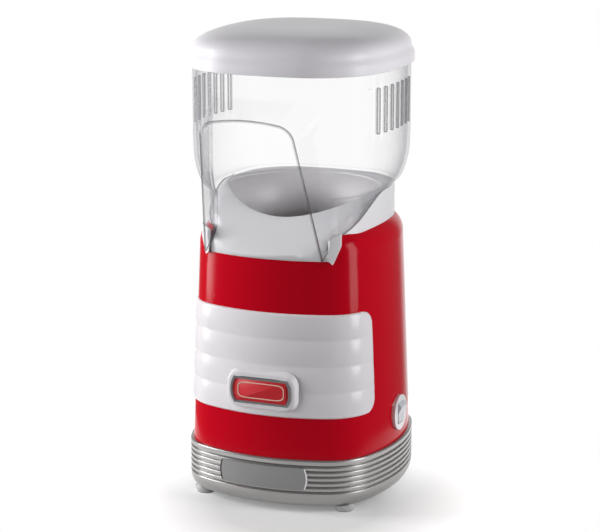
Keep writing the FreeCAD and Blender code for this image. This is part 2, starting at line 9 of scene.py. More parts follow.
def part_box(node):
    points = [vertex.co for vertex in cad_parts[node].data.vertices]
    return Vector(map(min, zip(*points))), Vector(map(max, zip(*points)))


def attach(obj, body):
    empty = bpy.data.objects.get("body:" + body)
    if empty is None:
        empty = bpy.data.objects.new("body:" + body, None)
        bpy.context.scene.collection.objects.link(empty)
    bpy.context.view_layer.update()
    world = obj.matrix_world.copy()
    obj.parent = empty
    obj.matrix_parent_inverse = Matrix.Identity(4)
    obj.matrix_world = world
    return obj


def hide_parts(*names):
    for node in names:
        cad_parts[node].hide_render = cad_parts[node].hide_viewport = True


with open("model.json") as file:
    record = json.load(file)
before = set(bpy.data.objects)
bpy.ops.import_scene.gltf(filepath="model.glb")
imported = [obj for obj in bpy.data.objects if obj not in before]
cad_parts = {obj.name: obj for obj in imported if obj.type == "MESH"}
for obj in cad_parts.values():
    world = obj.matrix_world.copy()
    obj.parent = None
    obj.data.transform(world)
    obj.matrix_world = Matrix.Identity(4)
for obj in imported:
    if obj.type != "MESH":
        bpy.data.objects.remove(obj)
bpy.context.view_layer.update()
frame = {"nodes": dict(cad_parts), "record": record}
print("frame loaded")

mm = 0.001
mergeGap = 0.000002  # corners closer than this are one corner

# camera, fitted to the photograph's edges
cameraLook = {"azimuth": 21.93, "elevation": 13.21, "distance": 1.35491, "aimHeight": 0.14334,
              "lens": 125.51, "sensor": 36, "shiftX": -0.0047, "reach": 50}

# tall strip boxes left and right of the camera, a soft fill from the left front and a weak box above
lampRig = {
    "leftStrip": {"azimuth": -70, "distance": 0.62, "height": 0.32, "width": 0.2, "tall": 0.6,
                  "power": 3.9, "mirrored": True},
    "rightStrip": {"azimuth": 88, "distance": 0.62, "height": 0.32, "width": 0.26, "tall": 0.6,
                   "power": 3.3, "mirrored": True},
    "fillBox": {"azimuth": -40, "distance": 1.4, "height": 0.4, "width": 0.8, "tall": 0.7,
                "power": 8.5, "mirrored": False},
    "topBox": {"azimuth": 0, "distance": 0.02, "height": 1.5, "width": 0.9, "tall": 0.9,
               "power": 0.35, "mirrored": True},
}
highestAim = 0.5  # a lamp above this height points down at it

# white behind the object, a dimmer room around it
worldLook = {"backdrop": 1.0, "room": 0.18, "lit": 0.14, "edgeIn": 0.82, "edgeOut": 0.95}
# the floor's glow is low near the middle point in front of the object, a painted shadow under and before
# it; further out the floor is evenly white
floorLook = {"colour": (0.6, 0.6, 0.6), "lift": 0.2, "liftFar": 0.95, "near": 0.05, "far": 0.14,
             "middle": (0.02, -0.055, 0), "radius": 0.2, "sides": 96, "rough": 0.7}


def aim(obj, place, target):
    obj.location = place
    obj.rotation_euler = (Vector(target) - Vector(place)).to_track_quat("-Z", "Y").to_euler()


def around(azimuth, elevation, distance, height):
    a = math.radians(azimuth)
    e = math.radians(elevation)
    return (distance * math.sin(a) * math.cos(e), -distance * math.cos(a) * math.cos(e),
            height + distance * math.sin(e))


def addCamera(look):
    data = bpy.data.cameras.new("photoCamera")
    camera = bpy.data.objects.new("photoCamera", data)
    bpy.context.scene.collection.objects.link(camera)
    data.lens = look["lens"]
    data.sensor_width = look["sensor"]
    data.sensor_fit = "HORIZONTAL"
    data.shift_x = look["shiftX"]
    data.clip_end = look["reach"]
    target = (0, 0, look["aimHeight"])
    aim(camera, around(look["azimuth"], look["elevation"], look["distance"], look["aimHeight"]), target)
    bpy.context.scene.camera = camera


def addLamp(name, look):
    data = bpy.data.lights.new(name, "AREA")
    data.shape = "RECTANGLE"
    data.size = look["width"]
    data.size_y = look["tall"]
    data.energy = look["power"]
    lamp = bpy.data.objects.new(name, data)
    bpy.context.scene.collection.objects.link(lamp)
    lamp.visible_camera = False
    lamp.visible_glossy = look["mirrored"]
    place = around(look["azimuth"], 0, look["distance"], look["height"])
    aim(lamp, place, (0, 0, min(look["height"], highestAim)))


def node(tree, kind, place=(0, 0), **values):
    n = tree.nodes.new(kind)
    n.location = place
    for key, value in values.items():
        setattr(n, key, value)
    return n


def setRange(n, fromMin, fromMax, toMin, toMax):
    n.inputs["From Min"].default_value = fromMin
    n.inputs["From Max"].default_value = fromMax
    n.inputs["To Min"].default_value = toMin
    n.inputs["To Max"].default_value = toMax


def either(tree, first, *others):
    for other in others:
        most = node(tree, "ShaderNodeMath", (-700, 0), operation="MAXIMUM")
        tree.links.new(first, most.inputs[0])
        tree.links.new(other, most.inputs[1])
        first = most.outputs[0]
    return first


def seenRay(tree):
    rays = node(tree, "ShaderNodeLightPath", (-900, 0)).outputs
    return either(tree, rays["Is Camera Ray"], rays["Is Glossy Ray"], rays["Is Transmission Ray"])


def addWorld(look):
    world = bpy.data.worlds.new("studio")
    bpy.context.scene.world = world
    world.use_nodes = True
    tree = world.node_tree
    tree.nodes.clear()
    coord = node(tree, "ShaderNodeTexCoord", (-1200, -300))
    along = node(tree, "ShaderNodeVectorMath", (-1000, -300), operation="DOT_PRODUCT")
    a = math.radians(cameraLook["azimuth"])
    along.inputs[1].default_value = (-math.sin(a), math.cos(a), 0)
    tree.links.new(coord.outputs["Generated"], along.inputs[0])
    seen = node(tree, "ShaderNodeMapRange", (-800, -300), interpolation_type="SMOOTHSTEP")
    setRange(seen, look["edgeIn"], look["edgeOut"], look["room"], look["backdrop"])
    tree.links.new(along.outputs["Value"], seen.inputs["Value"])
    rays = node(tree, "ShaderNodeLightPath", (-900, 300)).outputs
    strength = node(tree, "ShaderNodeMapRange", (-400, 0))
    strength.inputs["To Min"].default_value = look["lit"]
    shown = either(tree, seen.outputs["Result"], rays["Is Camera Ray"])
    tree.links.new(shown, strength.inputs["To Max"])
    tree.links.new(seenRay(tree), strength.inputs["Value"])
    back = node(tree, "ShaderNodeBackground", (-200, 0))
    back.inputs["Color"].default_value = (1, 1, 1, 1)
    tree.links.new(strength.outputs["Result"], back.inputs["Strength"])
    out = node(tree, "ShaderNodeOutputWorld")
    tree.links.new(back.outputs[0], out.inputs["Surface"])


def addFloor(look):
    bpy.ops.mesh.primitive_circle_add(vertices=look["sides"], radius=look["radius"], fill_type="NGON")
    floor = bpy.context.object
    floor.name = "floor"
    mat = bpy.data.materials.new("floorWhite")
    mat.use_nodes = True
    tree = mat.node_tree
    bsdf = tree.nodes["Principled BSDF"]
    bsdf.inputs["Base Color"].default_value = (*look["colour"], 1)
    bsdf.inputs["Roughness"].default_value = look["rough"]
    bsdf.inputs["Specular IOR Level"].default_value = 0.0
    coord = node(tree, "ShaderNodeTexCoord", (-1000, -300))
    reach = node(tree, "ShaderNodeVectorMath", (-800, -300), operation="DISTANCE")
    reach.inputs[1].default_value = look["middle"]
    tree.links.new(coord.outputs["Object"], reach.inputs[0])
    # painted shadow: the glow seen by camera and reflection rays is low near the middle point and rises to
    # full white further out
    grow = node(tree, "ShaderNodeMapRange", (-600, -300))
    setRange(grow, look["near"], look["far"], look["lift"], look["liftFar"])
    tree.links.new(reach.outputs["Value"], grow.inputs["Value"])
    lift = node(tree, "ShaderNodeMath", (-400, 0), operation="MULTIPLY")
    tree.links.new(seenRay(tree), lift.inputs[0])
    tree.links.new(grow.outputs["Result"], lift.inputs[1])
    bsdf.inputs["Emission Color"].default_value = (1, 1, 1, 1)
    tree.links.new(lift.outputs[0], bsdf.inputs["Emission Strength"])
    floor.data.materials.append(mat)


# shared effects
def newGroup(name, inputs, outputs):
    tree = bpy.data.node_groups.new(name, "ShaderNodeTree")
    for label, kind, value in inputs:
        socket = tree.interface.new_socket(label, in_out="INPUT", socket_type=kind)
        socket.default_value = value
    for label, kind in outputs:
        tree.interface.new_socket(label, in_out="OUTPUT", socket_type=kind)
    return tree, node(tree, "NodeGroupInput", (-700, 0)), node(tree, "NodeGroupOutput", (500, 0))


def mouldGrainGroup():
    number = "NodeSocketFloat"
    inputs = [("Scale", number, 900.0), ("Low", number, 0.2), ("High", number, 0.3),
              ("Drift", number, 25.0)]
    outputs = [("Roughness", number), ("Height", number), ("Drift", number)]
    tree, given, out = newGroup("mouldGrain", inputs, outputs)
    coord = node(tree, "ShaderNodeTexCoord", (-700, -300))
    fine = node(tree, "ShaderNodeTexNoise", (-400, 100))
    fine.inputs["Detail"].default_value = 3
    wide = node(tree, "ShaderNodeTexNoise", (-400, -200))
    wide.inputs["Detail"].default_value = 2
    tree.links.new(coord.outputs["Object"], fine.inputs["Vector"])
    tree.links.new(coord.outputs["Object"], wide.inputs["Vector"])
    tree.links.new(given.outputs["Scale"], fine.inputs["Scale"])
    tree.links.new(given.outputs["Drift"], wide.inputs["Scale"])
    spread = node(tree, "ShaderNodeMapRange", (-100, -100))
    tree.links.new(wide.outputs["Fac"], spread.inputs["Value"])
    spread.inputs["From Min"].default_value = 0.35  # noise seldom leaves this band
    spread.inputs["From Max"].default_value = 0.65
    tree.links.new(given.outputs["Low"], spread.inputs["To Min"])
    tree.links.new(given.outputs["High"], spread.inputs["To Max"])
    tree.links.new(spread.outputs["Result"], out.inputs["Roughness"])
    tree.links.new(fine.outputs["Fac"], out.inputs["Height"])
    tree.links.new(wide.outputs["Fac"], out.inputs["Drift"])
    return tree


def brushedGroup():
    number = "NodeSocketFloat"
    inputs = [("Along", "NodeSocketVector", (40.0, 40.0, 4000.0)), ("Low", number, 0.25),
              ("High", number, 0.45)]
    outputs = [("Roughness", number), ("Height", number)]
    tree, given, out = newGroup("brushedLines", inputs, outputs)
    coord = node(tree, "ShaderNodeTexCoord", (-700, -300))
    stretch = node(tree, "ShaderNodeVectorMath", (-500, 0), operation="MULTIPLY")
    tree.links.new(coord.outputs["Object"], stretch.inputs[0])
    tree.links.new(given.outputs["Along"], stretch.inputs[1])
    lines = node(tree, "ShaderNodeTexNoise", (-300, 0))
    lines.inputs["Scale"].default_value = 1.0
    lines.inputs["Detail"].default_value = 2
    tree.links.new(stretch.outputs[0], lines.inputs["Vector"])
    spread = node(tree, "ShaderNodeMapRange", (-50, 0))
    tree.links.new(lines.outputs["Fac"], spread.inputs["Value"])
    tree.links.new(given.outputs["Low"], spread.inputs["To Min"])
    tree.links.new(given.outputs["High"], spread.inputs["To Max"])
    tree.links.new(spread.outputs["Result"], out.inputs["Roughness"])
    tree.links.new(lines.outputs["Fac"], out.inputs["Height"])
    return tree


mouldGrain = mouldGrainGroup()
brushedLines = brushedGroup()


def newMaterial(name):
    mat = bpy.data.materials.new(name)
    mat.use_nodes = True
    return mat, mat.node_tree, mat.node_tree.nodes["Principled BSDF"]


def bumpFrom(tree, bsdf, height, look):
    bump = node(tree, "ShaderNodeBump", (-200, -300))
    bump.inputs["Strength"].default_value = look["bump"]
    bump.inputs["Distance"].default_value = look["bumpReach"]
    tree.links.new(height, bump.inputs["Height"])
    tree.links.new(bump.outputs["Normal"], bsdf.inputs["Normal"])


# what a finish has unless it says otherwise; bumpReach is in metres
plasticBasis = {"grain": 900, "drift": 22, "shade": 0.94, "bump": 0.05, "bumpReach": 0.0001, "metal": 0.0,
                "spec": 0.4}
metalBasis = {"shade": 0.88, "bump": 0.08, "bumpReach": 0.00008}


def mouldedPlastic(name, given):
    look = {**plasticBasis, **given}
    mat, tree, bsdf = newMaterial(name)
    grain = node(tree, "ShaderNodeGroup", (-700, 0), node_tree=mouldGrain)
    grain.inputs["Scale"].default_value = look["grain"]
    grain.inputs["Low"].default_value = look["rough"][0]
    grain.inputs["High"].default_value = look["rough"][1]
    grain.inputs["Drift"].default_value = look["drift"]
    tree.links.new(grain.outputs["Roughness"], bsdf.inputs["Roughness"])
    tone = node(tree, "ShaderNodeMix", (-400, 200), data_type="RGBA")
    tone.inputs["A"].default_value = (*look["colour"], 1)
    tone.inputs["B"].default_value = (*[c * look["shade"] for c in look["colour"]], 1)
    tree.links.new(grain.outputs["Drift"], tone.inputs["Factor"])
    tree.links.new(tone.outputs["Result"], bsdf.inputs["Base Color"])
    bumpFrom(tree, bsdf, grain.outputs["Height"], look)
    bsdf.inputs["Metallic"].default_value = look["metal"]
    bsdf.inputs["Specular IOR Level"].default_value = look["spec"]
    return mat


def brushedMetal(name, given):
    look = {**metalBasis, **given}
    mat, tree, bsdf = newMaterial(name)
    lines = node(tree, "ShaderNodeGroup", (-700, 0), node_tree=brushedLines)
    lines.inputs["Along"].default_value = look["along"]
    lines.inputs["Low"].default_value = look["rough"][0]
    lines.inputs["High"].default_value = look["rough"][1]
    tree.links.new(lines.outputs["Roughness"], bsdf.inputs["Roughness"])
    tone = node(tree, "ShaderNodeMix", (-400, 200), data_type="RGBA")
    tone.inputs["A"].default_value = (*look["colour"], 1)
    tone.inputs["B"].default_value = (*[c * look["shade"] for c in look["colour"]], 1)
    tree.links.new(lines.outputs["Height"], tone.inputs["Factor"])
    tree.links.new(tone.outputs["Result"], bsdf.inputs["Base Color"])
    bumpFrom(tree, bsdf, lines.outputs["Height"], look)
    bsdf.inputs["Metallic"].default_value = 1.0
    return mat


# the painted edge shade is full at the outer skin, faint at the inner one
def skinFade(tree, fade):
    depth = node(tree, "ShaderNodeAttribute", (-700, 1000), attribute_name="skinSide")
    ramp = node(tree, "ShaderNodeMapRange", (-400, 1000), interpolation_type="SMOOTHSTEP")
    ramp.inputs["From Min"].default_value = fade["start"]
    ramp.inputs["From Max"].default_value = fade["full"]
    ramp.inputs["To Min"].default_value = fade["least"]
    tree.links.new(depth.outputs["Fac"], ramp.inputs["Value"])
    return ramp.outputs["Result"]


# a thin clear wall: nearly invisible face on, solid where it is seen along, and no shadow; the grey it
# turns where seen along is painted reflection, over the shader's own real gloss
def clearSheet(name, look):
    mat, tree, bsdf = newMaterial(name)
    bsdf.inputs["Base Color"].default_value = (*look["colour"], 1)
    grain = node(tree, "ShaderNodeGroup", (-700, 0), node_tree=mouldGrain)
    grain.inputs["Low"].default_value = look["rough"][0]
    grain.inputs["High"].default_value = look["rough"][1]
    tree.links.new(grain.outputs["Roughness"], bsdf.inputs["Roughness"])
    # painted reflection: the grey colour covers more of the wall the more it is seen along
    weight = node(tree, "ShaderNodeLayerWeight", (-900, 400))
    steep = node(tree, "ShaderNodeMath", (-700, 400), operation="POWER")
    steep.inputs[1].default_value = look["steep"]
    tree.links.new(weight.outputs["Facing"], steep.inputs[0])
    cover = node(tree, "ShaderNodeMapRange", (-400, 400))
    cover.inputs["To Min"].default_value = look["facing"]
    cover.inputs["To Max"].default_value = look["grazing"]
    tree.links.new(steep.outputs[0], cover.inputs["Value"])
    path = node(tree, "ShaderNodeLightPath", (-700, 700))
    unlit = node(tree, "ShaderNodeMath", (-400, 700), operation="SUBTRACT")
    unlit.inputs[0].default_value = 1.0
    tree.links.new(path.outputs["Is Shadow Ray"], unlit.inputs[1])
    share = node(tree, "ShaderNodeMath", (-200, 500), operation="MULTIPLY")
    tree.links.new(cover.outputs["Result"], share.inputs[0])
    tree.links.new(unlit.outputs[0], share.inputs[1])
    amount = share
    if "fade" in look:
        amount = node(tree, "ShaderNodeMath", (0, 600), operation="MULTIPLY")
        tree.links.new(share.outputs[0], amount.inputs[0])
        tree.links.new(skinFade(tree, look["fade"]), amount.inputs[1])
    through = node(tree, "ShaderNodeBsdfTransparent", (0, -500))
    mix = node(tree, "ShaderNodeMixShader", (350, 200))
    tree.links.new(amount.outputs[0], mix.inputs[0])
    tree.links.new(through.outputs[0], mix.inputs[1])
    tree.links.new(bsdf.outputs[0], mix.inputs[2])
    tree.links.new(mix.outputs[0], tree.nodes["Material Output"].inputs["Surface"])
    return mat


# one finish for each of the record's slots
finishes = {
    "red_gloss": ("plastic", {"colour": (0.5, 0.001, 0.011), "rough": (0.13, 0.17), "spec": 0.12,
                              "shade": 0.97, "bump": 0.01}),
    "badge_red": ("plastic", {"colour": (0.52, 0.02, 0.028), "rough": (0.38, 0.46), "spec": 0.3}),
    "panel_white": ("plastic", {"colour": (0.76, 0.735, 0.765), "rough": (0.2, 0.27), "spec": 0.35,
                                "bump": 0.01}),
    "chrome_trim": ("metal", {"colour": (0.8, 0.8, 0.82), "rough": (0.06, 0.12),
                              "along": (300, 300, 300), "bump": 0.01}),
    "base_silver": ("plastic", {"colour": (0.42, 0.41, 0.405), "rough": (0.28, 0.36), "metal": 0.9,
                                "grain": 2600, "bump": 0.06}),
    "plate_brushed": ("metal", {"colour": (0.28, 0.28, 0.285), "rough": (0.28, 0.42),
                                "along": (30, 30, 4000)}),
    "underside_black": ("plastic", {"colour": (0.03, 0.03, 0.03), "rough": (0.5, 0.65), "bump": 0.25}),
    "screw_steel": ("metal", {"colour": (0.5, 0.5, 0.5), "rough": (0.3, 0.45), "along": (900, 900, 200)}),
    "foot_grey": ("plastic", {"colour": (0.5, 0.49, 0.49), "rough": (0.45, 0.6), "bump": 0.2}),
    "chute_grey": ("plastic", {"colour": (0.78, 0.775, 0.8), "rough": (0.3, 0.4), "bump": 0.04,
                               "spec": 0.3}),
    "chamber_aluminium": ("metal", {"colour": (0.55, 0.53, 0.5), "rough": (0.3, 0.42),
                                    "along": (60, 60, 2500)}),
    "sheet_steel": ("metal", {"colour": (0.45, 0.45, 0.46), "rough": (0.35, 0.5),
                              "along": (200, 200, 1500)}),
    "inner_black": ("plastic", {"colour": (0.035, 0.035, 0.035), "rough": (0.4, 0.55), "bump": 0.2}),
    "motor_steel": ("metal", {"colour": (0.4, 0.4, 0.41), "rough": (0.25, 0.4), "along": (900, 900, 60)}),
    "fan_grey": ("plastic", {"colour": (0.2, 0.2, 0.21), "rough": (0.4, 0.5), "bump": 0.1}),
    "mica_tan": ("plastic", {"colour": (0.5, 0.4, 0.26), "rough": (0.4, 0.6), "bump": 0.3, "shade": 0.7,
                             "drift": 120}),
    "coil_wire": ("metal", {"colour": (0.3, 0.27, 0.24), "rough": (0.4, 0.6), "along": (500, 500, 500)}),
    "board_green": ("plastic", {"colour": (0.03, 0.16, 0.06), "rough": (0.3, 0.45), "bump": 0.15}),
    "switch_white": ("plastic", {"colour": (0.8, 0.77, 0.78), "rough": (0.22, 0.3)}),
    "rocker_grey": ("plastic", {"colour": (0.58, 0.59, 0.63), "rough": (0.25, 0.35)}),
    "terminal_brass": ("metal", {"colour": (0.7, 0.52, 0.24), "rough": (0.2, 0.35),
                                 "along": (900, 900, 200)}),
    "tab_white": ("plastic", {"colour": (0.72, 0.72, 0.74), "rough": (0.2, 0.3)}),
    "lid_white": ("plastic", {"colour": (0.79, 0.77, 0.81), "rough": (0.275, 0.285), "bump": 0.0,
                              "spec": 0.2, "shade": 0.98}),
    # the hood's grey is painted reflection, shown where the wall is seen along
    "hood_clear": ("clear", {"colour": (0.3, 0.3, 0.33), "rough": (0.03, 0.06), "steep": 4.5,
                             "facing": 0.015, "grazing": 0.9}),
}


def makeFinish(slot, kind, look):
    if kind == "plastic":
        return mouldedPlastic(slot, look)
    if kind == "metal":
        return brushedMetal(slot, look)
    return clearSheet(slot, look)


def dressNodes():
    made = {slot: makeFinish(slot, kind, look) for slot, (kind, look) in finishes.items()}
    for part in frame["record"]["subparts"]:
        obj = frame["nodes"][part["node"]]
        for slot in obj.material_slots:
            slot.material = made[part["material_slot"]]
    return made


# which record slot and which body a node belongs to
nodeSlot = {part["node"]: part["material_slot"] for part in frame["record"]["subparts"]}
bodies = frame["record"]["behaviour"]["bodies"]
nodeBody = {name: body for body, names in bodies.items() for name in names}


def addPiece(name, mesh, like, replaces):
    piece = bpy.data.objects.new(name, mesh)
    bpy.context.scene.collection.objects.link(piece)
    piece.data.materials.clear()
    piece.data.materials.append(finishSet[nodeSlot[like]])
    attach(piece, nodeBody[like])
    if replaces:
        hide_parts(like)
    return piece


def smoothMesh(mesh, angle):
    mesh.shade_smooth()
    mesh.set_sharp_from_angle(angle=math.radians(angle))


# a node's own form with merged corners and smooth shading
skinAngle = {"default": 28, "chute_collar": 35, "hood_shell": 40}


def smoothSkin(name):
    mesh = frame["nodes"][name].data.copy()
    work = bmesh.new()
    work.from_mesh(mesh)
    bmesh.ops.remove_doubles(work, verts=work.verts, dist=mergeGap)
    work.to_mesh(mesh)
    work.free()
    smoothMesh(mesh, skinAngle.get(name, skinAngle["default"]))
    return addPiece(name + "Skin", mesh, name, True)


# outlines of the mouldings, in mm: half sizes, bow radii of the sides and front, corner radius
housing = {"halfX": 67.0, "halfY": 68.0, "bowSide": 120.0, "bowFront": 115.0, "corner": 31.5}
hoodPlan = {"halfX": 65.0, "halfY": 68.0, "bowSide": 150.0, "bowFront": 200.0, "corner": 46.0}


# where a corner's arc touches both bowed sides from inside
def cornerCentre(plan):
    px, qy = plan["halfX"] - plan["bowSide"], plan["halfY"] - plan["bowFront"]
    r1, r2 = plan["bowSide"] - plan["corner"], plan["bowFront"] - plan["corner"]
    d = math.hypot(px, qy)
    t = (d * d + r1 * r1 - r2 * r2) / (2 * d)
    h = math.sqrt(r1 * r1 - t * t)
    ex, ey = -px / d, qy / d
    return max((px + ex * t + k * ey * h, ey * t - k * ex * h) for k in (-1, 1))


def planPoint(plan, angle):
    cx, cy = cornerCentre(plan)
    c, s = math.cos(angle), math.sin(angle)
    turn = math.atan2(abs(s), abs(c))
    sideEnd = math.atan2(cy, cx - plan["halfX"] + plan["bowSide"])
    frontEnd = math.atan2(cy - plan["halfY"] + plan["bowFront"], cx)
    if turn <= sideEnd:
        mid, r = (plan["halfX"] - plan["bowSide"], 0.0), plan["bowSide"]
    elif turn >= frontEnd:
        mid, r = (0.0, plan["halfY"] - plan["bowFront"]), plan["bowFront"]
    else:
        mid, r = (cx, cy), plan["corner"]
    x, y = mid[0] + r * math.cos(turn), mid[1] + r * math.sin(turn)
    return Vector((math.copysign(x, c), math.copysign(y, s))), Vector((c, s))


def softStep(t):
    return t * t * (3 - 2 * t)


def planRing(plan, count):
    return [planPoint(plan, -math.pi + (i + 0.5) * 2 * math.pi / count) for i in range(count)]


# rows of points in mm become a closed or open skin, with its poles merged
def gridMesh(name, rows, wrapAcross, wrapRows):
    mesh = bpy.data.meshes.new(name)
    wide = len(rows[0])
    faces = []
    for i in range(len(rows) if wrapRows else len(rows) - 1):
        for j in range(wide if wrapAcross else wide - 1):
            a, b = i * wide + j, i * wide + (j + 1) % wide
            c, d = (i + 1) % len(rows) * wide + (j + 1) % wide, (i + 1) % len(rows) * wide + j
            faces.append((a, b, c, d))
    mesh.from_pydata([[v * mm for v in point] for row in rows for point in row], [], faces)
    work = bmesh.new()
    work.from_mesh(mesh)
    bmesh.ops.remove_doubles(work, verts=work.verts, dist=mergeGap)
    loose = [edge for edge in work.edges if not edge.link_faces]
    bmesh.ops.delete(work, geom=loose, context="EDGES")
    bmesh.ops.recalc_face_normals(work, faces=work.faces)
    work.to_mesh(mesh)
    work.free()
    return mesh


# crowned lid: a full dome flaring softly into its flange; lip steps are (outward, up) in mm,
# the roof and shelf steps of the inside are (scale, up)
lidLook = {"count": 288, "proud": 2.2, "flange": 5.0, "flare": 6.0, "flareRows": 12, "wall": 2.2,
           "inside": -2.4, "squareness": 4.4, "domeRows": 56, "crease": 40,
           "lip": ((-0.7, 0.0), (-0.2, 0.2), (0.0, 0.8)),
           "roofSteps": ((0.0, 0.0), (0.5, -0.8), (0.8, -4.0)), "shelfSteps": ((0.95, 3.0), (1.0, 0.0))}


def makeLid(look):
    low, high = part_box("lid")[0][2] / mm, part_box("lid")[1][2] / mm
    ring = planRing(hoodPlan, look["count"])

    def row(offset, z, scale=1.0):
        return [(*((p + n * offset) * scale), z) for p, n in ring]

    proud, shelf, roof = look["proud"], low + look["flange"], high - look["wall"]
    rows = [row(look["inside"], low)]
    rows += [row(proud + out, low + up) for out, up in look["lip"]]
    for k in range(look["flareRows"] + 1):
        t = k / look["flareRows"]
        rows.append(row(proud * (1 - softStep(t)), shelf + look["flare"] * t))
    start = shelf + look["flare"]
    for k in range(1, look["domeRows"] + 1):
        a = 0.5 * math.pi * k / look["domeRows"]
        shrink = max(math.cos(a), 0.0) ** (2 / look["squareness"])
        rows.append(row(0.0, start + (high - start) * math.sin(a), shrink))
    rows += [row(look["inside"], roof + up, scale) for scale, up in look["roofSteps"]]
    rows += [row(look["inside"], shelf + up, scale) for scale, up in look["shelfSteps"]]
    mesh = gridMesh("lidShell", rows, True, True)
    smoothMesh(mesh, look["crease"])
    return addPiece("lidShell", mesh, "lid", True)


# ribbed base, grooved by a node tree
baseLook = {"count": 320, "proud": 2.0, "ribCount": 6, "ribPitch": 3.4, "ribDepth": 1.15,
            "firstGroove": 4.0, "halfWidth": 0.85, "step": 0.28, "wall": 3.5, "tuck": 5.2, "tuckRows": 12,
            "roll": 0.9, "rollRows": 6, "ledge": 0.4, "skirtRise": 1.4, "footIn": 7.7, "footUp": 2.4,
            "wallUp": 6.6, "crease": 50}


def ribTree(material):
    tree = bpy.data.node_groups.new("baseRibs", "GeometryNodeTree")
    tree.interface.new_socket("Geometry", in_out="INPUT", socket_type="NodeSocketGeometry")
    for label in ("Top", "Rib Count", "Rib Pitch", "Rib Depth", "Half Width"):
        tree.interface.new_socket(label, in_out="INPUT", socket_type="NodeSocketFloat")
    tree.interface.new_socket("Geometry", in_out="OUTPUT", socket_type="NodeSocketGeometry")
    given = node(tree, "NodeGroupInput", (-1200, 0))
    out = node(tree, "NodeGroupOutput", (800, 0))

    def calc(operation, *values):
        n = node(tree, "ShaderNodeMath", operation=operation)
        for i, value in enumerate(values):
            if isinstance(value, (int, float)):
                n.inputs[i].default_value = value
            else:
                tree.links.new(value, n.inputs[i])
        return n.outputs[0]

    place = node(tree, "GeometryNodeInputPosition", (-1200, -300))
    split = node(tree, "ShaderNodeSeparateXYZ", (-1000, -300))
    tree.links.new(place.outputs[0], split.inputs[0])
    pitch = given.outputs["Rib Pitch"]
    drop = calc("DIVIDE", calc("SUBTRACT", given.outputs["Top"], split.outputs["Z"]), pitch)  # in pitches
    phase = calc("SUBTRACT", calc("FRACT", calc("ADD", drop, 0.5)), 0.5)
    away = calc("MULTIPLY", calc("ABSOLUTE", phase), pitch)  # from the nearest groove's middle
    last = calc("SUBTRACT", given.outputs["Rib Count"], 0.5)
    inside = calc("MULTIPLY", calc("GREATER_THAN", drop, -0.5), calc("LESS_THAN", drop, last))
    ease = node(tree, "ShaderNodeMapRange", interpolation_type="SMOOTHSTEP")
    tree.links.new(away, ease.inputs["Value"])
    ease.inputs["From Min"].default_value = 0.0
    tree.links.new(given.outputs["Half Width"], ease.inputs["From Max"])
    ease.inputs["To Min"].default_value = 1.0
    ease.inputs["To Max"].default_value = 0.0
    depth = calc("MULTIPLY", calc("MULTIPLY", ease.outputs["Result"], inside),
                 calc("MULTIPLY", given.outputs["Rib Depth"], -1.0))
    facing = node(tree, "GeometryNodeInputNormal", (-200, -300))
    shift = node(tree, "ShaderNodeVectorMath", (0, -300), operation="SCALE")
    tree.links.new(facing.outputs[0], shift.inputs[0])
    tree.links.new(depth, shift.inputs["Scale"])
    move = node(tree, "GeometryNodeSetPosition", (200, 0))
    tree.links.new(given.outputs["Geometry"], move.inputs["Geometry"])
    tree.links.new(shift.outputs[0], move.inputs["Offset"])
    real = node(tree, "GeometryNodeRealizeInstances", (400, 0))
    paint = node(tree, "GeometryNodeSetMaterial", (600, 0))
    paint.inputs["Material"].default_value = material
    tree.links.new(move.outputs[0], real.inputs[0])
    tree.links.new(real.outputs[0], paint.inputs["Geometry"])
    tree.links.new(paint.outputs[0], out.inputs[0])
    return tree


def treeResult(name, mesh, tree, values):
    holder = bpy.data.objects.new(name + "Source", mesh)
    bpy.context.scene.collection.objects.link(holder)
    modifier = holder.modifiers.new("nodes", "NODES")
    modifier.node_group = tree
    for item in tree.interface.items_tree:
        if item.in_out == "INPUT" and item.name in values:
            modifier[item.identifier] = values[item.name]
    bpy.context.view_layer.update()
    made = bpy.data.meshes.new_from_object(holder.evaluated_get(bpy.context.evaluated_depsgraph_get()))
    made.name = name
    holder.modifiers.remove(modifier)
    bpy.data.objects.remove(holder)
    return made


def makeBase(look):
    low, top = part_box("base_ring")[0][2] / mm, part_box("base_ring")[1][2] / mm
    ring = planRing(housing, look["count"])

    def row(offset, z):
        return [(*(p + n * offset), z) for p, n in ring]

    p, roll = look["proud"], look["roll"]
    skirt = top - look["firstGroove"] - look["ribCount"] * look["ribPitch"] + look["skirtRise"]
    rows = [row(p - look["wall"], top), row(p - roll - look["ledge"], top)]
    for k in range(look["rollRows"] + 1):
        a = math.radians(90 * k / look["rollRows"])
        rows.append(row(p - roll * (1 - math.sin(a)), top - roll * (1 - math.cos(a))))
    steps = int((top - roll - skirt) / look["step"])
    rows += [row(p, top - roll - (top - roll - skirt) * i / steps) for i in range(1, steps + 1)]
    for k in range(1, look["tuckRows"] + 1):
        a = math.radians(90 * k / look["tuckRows"])
        rows.append(row(p - look["tuck"] * (1 - math.cos(a)), skirt - (skirt - low) * math.sin(a)))
    rows += [row(p - look["footIn"], low), row(p - look["footIn"], low + look["footUp"])]
    rows.append(row(p - look["wall"], low + look["wallUp"]))
    mesh = gridMesh("baseBlank", rows, True, True)
    values = {"Top": (top - look["firstGroove"]) * mm, "Rib Count": float(look["ribCount"]),
              "Rib Pitch": look["ribPitch"] * mm, "Rib Depth": look["ribDepth"] * mm,
              "Half Width": look["halfWidth"] * mm}
    made = treeResult("ribbedBase", mesh, ribTree(finishSet["base_silver"]), values)
    smoothMesh(made, look["crease"])
    return addPiece("ribbedBase", made, "base_ring", True)


# white front panel of four soft bands on the drafted body
panelLook = {"bands": 4, "edge": 0.9, "bulge": 0.8, "crown": 0.7, "sink": 0.25, "sideY": -31.0,
             "corner": 10.0, "draft": 0.041, "seamZ": 35.0, "columns": 260, "rowsPerBand": 16,
             "arcSteps": 1440, "rim": 1.3, "fade": 16.0, "thick": 1.2}


